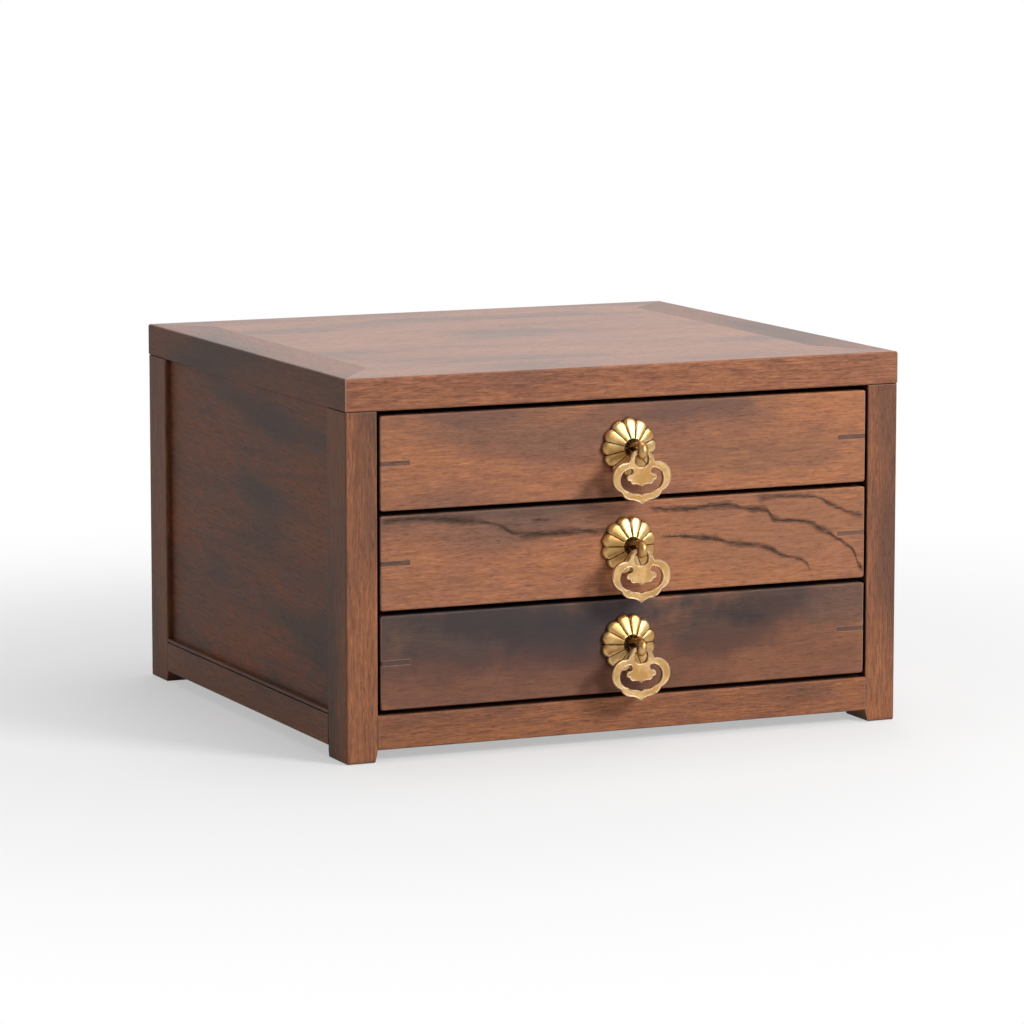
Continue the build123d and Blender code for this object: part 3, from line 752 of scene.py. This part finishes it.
def dress(node: str, material: Material) -> None:
    """Gives a CAD node its material.

    Args:
        node: The node's name.
        material: The material for its whole surface.
    """
    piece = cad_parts[node]
    piece.data.materials.clear()
    piece.data.materials.append(material)
    log.info("%s wears %s", node, material.name)


@dataclass(frozen=True)
class Boards:
    """Boards of one finish whose grain runs the same way."""

    finish: WoodFinish
    grain: Grain
    nodes: tuple[str, ...]


@dataclass
class Case:
    """The fixed box: posts, rails, panels, runners and the framed top, in the order they are sawn."""

    finisher: Finisher
    boards: tuple[Boards, ...] = (
        Boards(TOP_WOOD, Grain.ALONG_X, ("top_frame_front", "top_frame_back", "top_panel")),
        Boards(END_WOOD, Grain.ALONG_Y, ("top_frame_left", "top_frame_right")),
        Boards(FRAME_WOOD, Grain.ALONG_Z,
               ("post_front_left", "post_front_right", "post_back_left", "post_back_right")),
        Boards(FRAME_WOOD, Grain.ALONG_X, ("rail_front", "rail_back")),
        Boards(FRAME_WOOD, Grain.ALONG_Y, ("rail_left", "rail_right")),
        Boards(PANEL_WOOD, Grain.SLOPING_Y, ("side_panel_left", "side_panel_right")),
        Boards(PANEL_WOOD, Grain.ALONG_X, ("back_panel",)),
        Boards(INNER_WOOD, Grain.ALONG_X, ("bottom_board",)),
        Boards(INNER_WOOD, Grain.ALONG_Y,
               ("runner_left_1", "runner_left_2", "runner_left_3",
                "runner_right_1", "runner_right_2", "runner_right_3")))

    def dress(self) -> None:
        """Gives every board of the case its wood."""
        sawn = [(boards, node) for boards in self.boards for node in boards.nodes]
        for cut, (boards, node) in enumerate(sawn, 1):
            dress(node, self.finisher.wood(node, boards.finish, boards.grain, cut))


def make_active(piece: Piece) -> None:
    """Selects one object alone and makes it the active one.

    Args:
        piece: The object.
    """
    bpy.ops.object.select_all(action="DESELECT")
    bpy.context.view_layer.objects.active = piece
    piece.select_set(True)


def plate_centre(number: int) -> Vector:
    """Finds the middle of the back of one drawer's CAD rosette.

    Args:
        number: The drawer's number.

    Returns:
        The point, in metres.
    """
    low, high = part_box(f"drawer_{number}_rosette")
    return Vector((0.0, high.y, (low.z + high.z) / 2))


def edit_all() -> None:
    """Goes into edit mode with the whole active mesh selected."""
    bpy.ops.object.mode_set(mode="EDIT")
    bpy.ops.mesh.select_all(action="SELECT")


def start_picking(kind: str) -> None:
    """Deselects the active mesh's parts, so that code can pick some of them in object mode.

    Args:
        kind: VERT or FACE.
    """
    bpy.ops.object.mode_set(mode="EDIT")
    bpy.ops.mesh.select_mode(type=kind)
    bpy.ops.mesh.select_all(action="DESELECT")
    bpy.ops.object.mode_set(mode="OBJECT")


def twin_of(piece: Piece, name: str, rise: float = 0.0, turn: float = 0.0,
            centre: Optional[Vector] = None) -> Piece:
    """Copies a piece with its own mesh.

    Args:
        piece: The piece to copy.
        name: The copy's name.
        rise: How far up the copy is set, in metres.
        turn: How far the copy is turned about its pin, in radians.
        centre: The pin's place, where the copy is turned.

    Returns:
        The copy.
    """
    twin = piece.copy()
    twin.data = piece.data.copy()
    twin.name = name
    bpy.context.scene.collection.objects.link(twin)
    make_active(twin)
    edit_all()
    bpy.ops.transform.translate(value=(0.0, 0.0, rise))
    if turn:
        bpy.ops.transform.rotate(value=turn, orient_axis="Y", center_override=centre)
    bpy.ops.object.mode_set(mode="OBJECT")
    return twin


@dataclass
class Rosette:
    """The petalled brass plate of the top drawer, domed up to the dish that the split pin comes out of.

    Its sizes are millimetres, and each level is a height and a share of the outline.
    """

    steps: int = 8
    tip_radius: float = 12.4
    joint_radius: float = 11.1
    arc_power: float = 2.4
    levels: tuple[Point, ...] = (
        (0.45, 1.01), (1.1, 1.0), (1.7, 0.985), (2.2, 0.955), (2.55, 0.91), (2.85, 0.84), (3.65, 0.66),
        (4.45, 0.48), (5.1, 0.365), (5.2, 0.34), (4.9, 0.315), (4.1, 0.25), (3.7, 0.17))
    groove_start: Point = (4.0, 1.5)
    groove_depth: float = 0.16
    line_share: float = 0.02
    smoothing: int = 2
    crease: float = 50.0

    def build(self) -> Piece:
        """Models the rosette from a disc whose rim is scalloped and raised ring by ring.

        Returns:
            The finished object.
        """
        centre = plate_centre(1)
        bpy.ops.mesh.primitive_circle_add(
            vertices=PETALS * self.steps, radius=self.tip_radius / MM_PER_METRE, fill_type="NGON",
            location=centre, rotation=(math.pi / 2, 0.0, 0.0))
        plate = bpy.context.object
        plate.name = "drawer_1_petal_plate"
        bpy.ops.object.transform_apply(location=True, rotation=True, scale=True)
        self.scallop(plate, centre)
        bpy.ops.object.mode_set(mode="EDIT")
        bpy.ops.mesh.select_mode(type="FACE")
        bpy.ops.mesh.select_all(action="SELECT")
        before_height, before_size = 0.0, 1.0
        for height, size in self.levels:
            rise = (0.0, -(height - before_height) / MM_PER_METRE, 0.0)
            bpy.ops.mesh.extrude_region_move(TRANSFORM_OT_translate={"value": rise})
            factor = size / before_size
            bpy.ops.transform.resize(value=(factor, 1.0, factor), center_override=centre)
            before_height, before_size = height, size
        bpy.ops.mesh.select_all(action="SELECT")
        bpy.ops.mesh.normals_make_consistent(inside=False)
        bpy.ops.object.mode_set(mode="OBJECT")
        self.cut_grooves(plate, centre)
        smooth = plate.modifiers.new("petal_curve", "SUBSURF")
        smooth.levels = smooth.render_levels = self.smoothing
        bpy.ops.object.modifier_apply(modifier=smooth.name)
        bpy.ops.object.shade_smooth_by_angle(angle=math.radians(self.crease))
        return plate

    @staticmethod
    def petal_part(point: Vector, centre: Vector) -> float:
        """Finds how far a point is from its petal's middle.

        Args:
            point: The point.
            centre: The middle of the rosette's back.

        Returns:
            0 in the petal's middle and 1 at the joint with the next.
        """
        step = 2 * math.pi / PETALS
        angle = math.atan2(point.x - centre.x, point.z - centre.z)
        return abs((angle / step + 0.5) % 1.0 - 0.5) * 2

    def pick(self, plate: Piece, centre: Vector, part: float, least: Point) -> bool:
        """Selects the points of one line of all the petals and stays in edit mode.

        Args:
            plate: The rosette.
            centre: The middle of its back.
            part: How far the line is from the petals' middles, from 0 to 1.
            least: The least radius and the least height of the points, in millimetres.

        Returns:
            True if any point was selected.
        """
        start_picking("VERT")
        found = False
        for vertex in plate.data.vertices:
            radius = math.hypot(vertex.co.x - centre.x, vertex.co.z - centre.z) * MM_PER_METRE
            raised = (centre.y - vertex.co.y) * MM_PER_METRE
            near = abs(self.petal_part(vertex.co, centre) - part) < self.line_share
            vertex.select = near and radius > least[0] and raised >= least[1]
            found = found or vertex.select
        bpy.ops.object.mode_set(mode="EDIT")
        return found

    def scallop(self, plate: Piece, centre: Vector) -> None:
        """Draws the rim in between the petals, so that each ends in an arc.

        Args:
            plate: The flat disc.
            centre: The middle of its back.
        """
        half = self.steps // 2
        for index in range(1, half + 1):
            part = index / half
            factor = 1.0 - (1.0 - self.joint_radius / self.tip_radius) * part ** self.arc_power
            if self.pick(plate, centre, part, (1.0, -1.0)):
                bpy.ops.transform.resize(value=(factor, 1.0, factor), center_override=centre)
            bpy.ops.object.mode_set(mode="OBJECT")

    def cut_grooves(self, plate: Piece, centre: Vector) -> None:
        """Sinks the line between each two petals below their faces.

        Args:
            plate: The domed plate.
            centre: The middle of its back.
        """
        if self.pick(plate, centre, 1.0, self.groove_start):
            bpy.ops.transform.translate(value=(0.0, self.groove_depth / MM_PER_METRE, 0.0))
        bpy.ops.object.mode_set(mode="OBJECT")


@dataclass
class Bail:
    """The pierced brass pull of the top drawer, with a chamfer round its face in lighter brass, a painted
    highlight.

    The rim, its fall and the merging distance are millimetres, and faces within one degree are made one.
    """

    rim: float = 0.34
    fall: float = 0.22
    merge: float = 0.01
    dissolve: float = 1.0
    flat: float = 0.99

    def build(self) -> Piece:
        """Eases a merged copy of the CAD bail.

        Returns:
            The finished object.
        """
        pull = twin_of(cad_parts["drawer_1_bail"], "drawer_1_eased_bail")
        edit_all()
        bpy.ops.mesh.remove_doubles(threshold=self.merge / MM_PER_METRE)
        bpy.ops.mesh.dissolve_limited(angle_limit=math.radians(self.dissolve))
        bpy.ops.mesh.normals_make_consistent(inside=False)
        bpy.ops.object.mode_set(mode="OBJECT")
        pull.data.materials.clear()
        for _ in range(2):
            pull.data.materials.append(None)
        self.chamfer(pull)
        return pull

    def chamfer(self, pull: Piece) -> None:
        """Insets the face and lowers its outline, with the second material, the lighter brass of the
        painted highlight, on the slope.

        Args:
            pull: The bail, in object mode.
        """
        start_picking("FACE")
        front = min(vertex.co.y for vertex in pull.data.vertices) + self.merge / MM_PER_METRE
        for face in pull.data.polygons:
            face.select = face.normal.y < -self.flat and face.center.y < front
        bpy.ops.object.mode_set(mode="EDIT")
        bpy.ops.mesh.inset(thickness=self.rim / MM_PER_METRE, depth=0.0, use_even_offset=False)
        bpy.ops.object.mode_set(mode="OBJECT")
        inner = {corner for face in pull.data.polygons if face.select for corner in face.vertices}
        for face in pull.data.polygons:
            facing = face.normal.y < -self.flat and face.center.y < front
            face.material_index = 1 if facing and not face.select else 0
        start_picking("VERT")
        for vertex in pull.data.vertices:
            vertex.select = vertex.co.y < front and vertex.index not in inner
        bpy.ops.object.mode_set(mode="EDIT")
        bpy.ops.transform.translate(value=(0.0, self.fall / MM_PER_METRE, 0.0))
        bpy.ops.object.mode_set(mode="OBJECT")


@dataclass
class Drawer:
    """One drawer: its front, its box, its corner keys and its brass pull."""

    finisher: Finisher
    number: int
    veins: tuple[Vein, ...] = ()
    stains: tuple[Stain, ...] = ()
    first_cut: int = 30
    cuts_each: int = 9
    keys_cut: int = 6

    def dress(self) -> None:
        """Gives every piece of the drawer its finish."""
        prefix = f"drawer_{self.number}_"
        cut = self.first_cut + self.cuts_each * self.number
        name = prefix + "front"
        dress(name, self.finisher.wood(name, FRONT_WOOD, Grain.ALONG_X, cut, self.veins, self.stains))
        box = {"side_left": Grain.ALONG_Y, "side_right": Grain.ALONG_Y,
               "back": Grain.ALONG_X, "bottom": Grain.ALONG_X}
        for step, (part, grain) in enumerate(box.items(), 1):
            dress(prefix + part, self.finisher.wood(prefix + part, INNER_WOOD, grain, cut + step))
        name, cut = prefix + "keys", cut + self.keys_cut
        dress(name, self.finisher.wood(name, KEY_WOOD, Grain.ALONG_X, cut, stains=self.stains))
        for part in ("rosette", "split_pin", "bail"):
            dress(prefix + part, self.finisher.brass(prefix + part, PULL_BRASS))


@dataclass
class Pulls:
    """The brass work of the three drawers, each kind of piece modelled once."""

    finisher: Finisher

    def build(self) -> None:
        """Sets a rosette and a bail on each drawer in the place of the CAD ones."""
        first_plate, first_bail = Rosette().build(), Bail().build()
        for number in DRAWERS:
            plate, bail, turn = first_plate, first_bail, 0.0
            if number > 1:
                centre = plate_centre(number)
                rise = centre.z - plate_centre(1).z
                turn = math.pi / PETALS
                plate = twin_of(first_plate, f"drawer_{number}_petal_plate", rise, turn, centre)
                bail = twin_of(first_bail, f"drawer_{number}_eased_bail", rise)
            self.set_plate(plate, number, turn)
            self.set_bail(bail, number)
            log.info("drawer %d has its pull", number)

    def set_plate(self, plate: Piece, number: int, turn: float) -> None:
        """Gives a rosette its brass and its drawer.

        Args:
            plate: The rosette.
            number: The drawer's number.
            turn: How far its petals are turned, in radians.
        """
        petals = (plate_centre(number).z * MM_PER_METRE, turn)
        plate.data.materials.clear()
        plate.data.materials.append(self.finisher.brass(plate.name, PETAL_BRASS, petals))
        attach(plate, f"drawer_{number}")
        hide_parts(f"drawer_{number}_rosette")

    def set_bail(self, bail: Piece, number: int) -> None:
        """Gives a bail its brass, its rim in lighter brass as a painted highlight, and its joint.

        Args:
            bail: The bail.
            number: The drawer's number.
        """
        bail.data.materials[0] = self.finisher.brass(bail.name, PULL_BRASS)
        bail.data.materials[1] = self.finisher.brass(bail.name + "_rim", RIM_HIGHLIGHT_BRASS)
        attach(bail, f"bail_{number}")
        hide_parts(f"drawer_{number}_bail")


@dataclass
class Lamp:
    """A soft box: where it hangs, what it points at, its size, its power and whether gloss shows it."""

    name: str
    place: Place
    aim: Place
    width: float
    height: float
    power: float
    mirrored: bool = True

    def build(self) -> None:
        """Hangs the lamp in the scene."""
        data = bpy.data.lights.new(self.name, "AREA")
        data.shape = "RECTANGLE"
        data.size = self.width
        data.size_y = self.height
        data.energy = self.power
        lamp = bpy.data.objects.new(self.name, data)
        lamp.location = self.place
        lamp.visible_glossy = self.mirrored
        direction = Vector(self.aim) - Vector(self.place)
        lamp.rotation_euler = direction.to_track_quat("-Z", "Y").to_euler()
        bpy.context.scene.collection.objects.link(lamp)


@dataclass
class Studio:
    """The floor, the lamps, the white surround and the camera."""

    white: Colour = (1.0, 1.0, 1.0, 1.0)
    floor_colour: Colour = (0.86, 0.86, 0.86, 1.0)
    floor_bounce: Colour = (0.3, 0.29, 0.28, 1.0)
    floor_half: float = 14.0
    floor_drop: float = 0.0002
    floor_fade: Change = (0.15, 0.6, 0.45, 1.0)
    floor_mirrored: Change = (-0.8, 0.0, 0.3, 1.0)
    air_strength: float = 0.2
    air_mirrored: Change = (-0.4, 0.2, 0.15, 1.0)
    glare_edge: Point = (0.94, 0.985)
    camera_place: Place = (-0.8877, -1.9829, 0.3964)
    camera_pitch: float = 0.143
    camera_yaw: float = 0.419
    camera_lens: float = 175.6
    camera_sensor: float = 36.0

    def build(self) -> None:
        """Builds the whole studio."""
        self.build_floor()
        self.build_world()
        self.build_lamps()
        self.build_camera()
        bpy.context.scene.view_settings.view_transform = "Standard"
        log.info("the studio stands")

    @staticmethod
    def seen_directly(sheet: NodeSheet, backdrop: Any) -> Socket:
        """Finds the rays that see the white surround.

        Args:
            sheet: The sheet of the floor's or the world's nodes.
            backdrop: How much of the white backdrop gloss and glass find there, from 0 to 1.

        Returns:
            1 for rays from the camera, and the backdrop's share for gloss and glass.
        """
        path = sheet.place("LightPath").outputs
        bounced = sheet.number("MAXIMUM", path["Is Glossy Ray"], path["Is Transmission Ray"])
        return sheet.number("MAXIMUM", path["Is Camera Ray"], sheet.times(bounced, backdrop))

    def build_floor(self) -> None:
        """Lays the pale floor, which keeps the box's shadow and fades to white."""
        bpy.ops.mesh.primitive_plane_add(size=2 * self.floor_half, location=(0.0, 0.0, -self.floor_drop))
        floor = bpy.context.object
        floor.name = "studio_floor"
        material = bpy.data.materials.new("studio_floor_white")
        material.use_nodes = True
        sheet = NodeSheet(material.node_tree)
        place = sheet.place("TexCoord").outputs["Object"]
        far = sheet.spread(sheet.measure("LENGTH", place), *self.floor_fade)
        lit = sheet.place("BsdfDiffuse", {"Color": self.floor_colour}).outputs[0]
        dim = sheet.place("BsdfDiffuse", {"Color": self.floor_bounce}).outputs[0]
        glow = sheet.place("Emission", {"Color": self.white, "Strength": 1.0}).outputs[0]
        white = sheet.place("MixShader", {0: far, 1: lit, 2: glow}).outputs[0]
        seen = self.seen_directly(sheet, sheet.spread(sheet.axis(place, 1), *self.floor_mirrored))
        surface = sheet.place("MixShader", {0: seen, 1: dim, 2: white}).outputs[0]
        sheet.place("OutputMaterial", {"Surface": surface})
        floor.data.materials.append(material)

    def build_world(self) -> None:
        """Fills the room with soft light, white where it is seen, with the key lamp's glare in gloss."""
        world = bpy.data.worlds.new("studio_air")
        world.use_nodes = True
        sheet = NodeSheet(world.node_tree)
        soft, white, glare = (
            sheet.place("Background", {"Color": self.white, "Strength": strength}).outputs[0]
            for strength in (self.air_strength, 1.0, KEY_GLARE))
        direction = sheet.place("TexCoord").outputs["Generated"]
        seen = self.seen_directly(sheet, sheet.spread(sheet.axis(direction, 1), *self.air_mirrored))
        mixed = sheet.place("MixShader", {0: seen, 1: soft, 2: white}).outputs[0]
        facing = sheet.measure("DOT_PRODUCT", direction, tuple(Vector(KEY_PLACE).normalized()))
        glossy = sheet.place("LightPath").outputs["Is Glossy Ray"]
        shown = sheet.times(sheet.spread(facing, *self.glare_edge), glossy)
        mixed = sheet.place("MixShader", {0: shown, 1: mixed, 2: glare}).outputs[0]
        sheet.place("OutputWorld", {"Surface": mixed})
        bpy.context.scene.world = world

    @staticmethod
    def build_lamps() -> None:
        """Hangs the soft boxes."""
        lamps = (
            Lamp("key_box", KEY_PLACE, (0.0, -0.1, 0.08), 0.5, 0.5, 20.0, mirrored=False),
            Lamp("back_box", (0.7, 1.8, 0.7), (0.0, 0.0, 0.08), 1.2, 1.2, 7.0, mirrored=False),
            Lamp("front_box", (0.25, -1.8, 0.5), (0.0, -0.1, 0.08), 0.8, 0.8, 5.8),
            Lamp("top_box", (0.2, 0.1, 1.6), (0.0, 0.0, 0.1), 1.0, 1.0, 9.0),
        )
        for lamp in lamps:
            lamp.build()

    def build_camera(self) -> None:
        """Sets the camera at the photograph's angle."""
        data = bpy.data.cameras.new("view_camera")
        data.lens = self.camera_lens
        data.sensor_width = self.camera_sensor
        camera = bpy.data.objects.new("view_camera", data)
        camera.location = self.camera_place
        camera.rotation_euler = (math.pi / 2 - self.camera_pitch, 0.0, -self.camera_yaw)
        bpy.context.scene.collection.objects.link(camera)
        bpy.context.scene.camera = camera


def main() -> None:
    """Builds the studio, dresses the box and sets the brass pulls."""
    logging.basicConfig(level=logging.INFO, format="%(message)s")
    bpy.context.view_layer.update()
    bpy.ops.object.select_all(action="DESELECT")
    Studio().build()
    finisher = Finisher()
    Case(finisher).dress()
    for number in DRAWERS:
        veins = MIDDLE_VEINS if number == 2 else ()
        Drawer(finisher, number, veins, FRONT_STAINS[number]).dress()
        log.info("drawer %d is dressed", number)
    Pulls(finisher).build()


if __name__ == "__main__":
    main()
